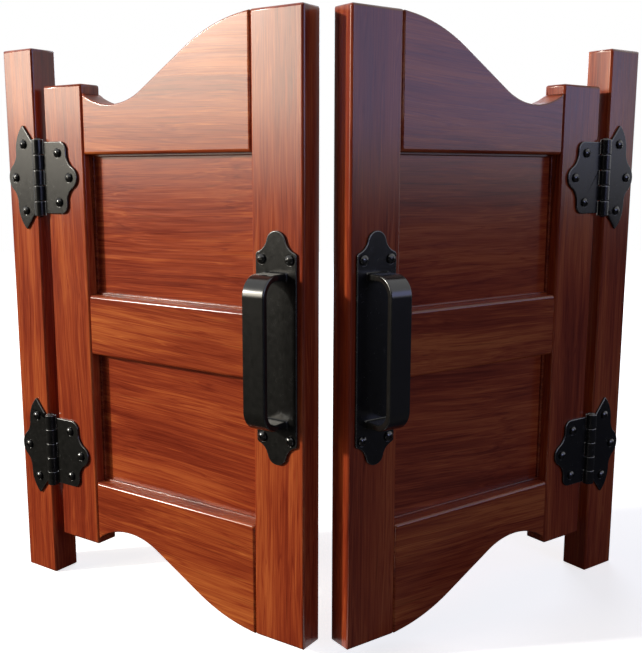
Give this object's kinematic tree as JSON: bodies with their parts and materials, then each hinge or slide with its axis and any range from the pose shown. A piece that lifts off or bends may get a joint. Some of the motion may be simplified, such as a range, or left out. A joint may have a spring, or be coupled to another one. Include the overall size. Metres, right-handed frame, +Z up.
{
  "type": "saloon doors",
  "caption": "Pair of framed and panelled swinging half doors with curved top and bottom edges, each hinged to its own post and fitted with a pull handle.",
  "frame": {"origin": "middle of the pair's footprint, at the level of the posts' feet", "axes": "+X across the doorway from the left post to the right, -Y towards the viewer and the pulls, +Z up"},
  "size_m": [0.9154, 0.3636, 0.795],
  "materials": {
    "wood": "gloss varnish",
    "panel": "gloss varnish",
    "bead": "gloss varnish",
    "iron": "satin black",
    "screw": "satin black"
  },
  "bodies": {
    "posts": {"left_post": "wood", "left_upper_hinge_post_plate": "iron", "left_upper_hinge_pin": "iron", "left_upper_hinge_post_screws": "screw", "left_lower_hinge_post_plate": "iron", "left_lower_hinge_pin": "iron", "left_lower_hinge_post_screws": "screw", "right_post": "wood", "right_upper_hinge_post_plate": "iron", "right_upper_hinge_pin": "iron", "right_upper_hinge_post_screws": "screw", "right_lower_hinge_post_plate": "iron", "right_lower_hinge_pin": "iron", "right_lower_hinge_post_screws": "screw"},
    "left_leaf": {"left_hinge_stile": "wood", "left_meeting_stile": "wood", "left_top_rail": "wood", "left_middle_rail": "wood", "left_bottom_rail": "wood", "left_upper_panel": "panel", "left_lower_panel": "panel", "left_upper_beads": "bead", "left_lower_beads": "bead", "left_upper_hinge_leaf_plate": "iron", "left_upper_hinge_leaf_screws": "screw", "left_lower_hinge_leaf_plate": "iron", "left_lower_hinge_leaf_screws": "screw", "left_pull_plate": "iron", "left_pull_grip": "iron", "left_pull_screws": "screw"},
    "right_leaf": {"right_hinge_stile": "wood", "right_meeting_stile": "wood", "right_top_rail": "wood", "right_middle_rail": "wood", "right_bottom_rail": "wood", "right_upper_panel": "panel", "right_lower_panel": "panel", "right_upper_beads": "bead", "right_lower_beads": "bead", "right_upper_hinge_leaf_plate": "iron", "right_upper_hinge_leaf_screws": "screw", "right_lower_hinge_leaf_plate": "iron", "right_lower_hinge_leaf_screws": "screw", "right_pull_plate": "iron", "right_pull_grip": "iron", "right_pull_screws": "screw"}
  },
  "joints": [
    {"name": "left_leaf_swing", "type": "hinge", "parent": "posts", "child": "left_leaf", "pos_m": [-0.40225, 0.10204, 0.39], "axis": [0, 0, -1], "range_deg": [0, 165]},
    {"name": "right_leaf_swing", "type": "hinge", "parent": "posts", "child": "right_leaf", "pos_m": [0.40225, 0.10204, 0.39], "axis": [0, 0, 1], "range_deg": [0, 165]}
  ]
}
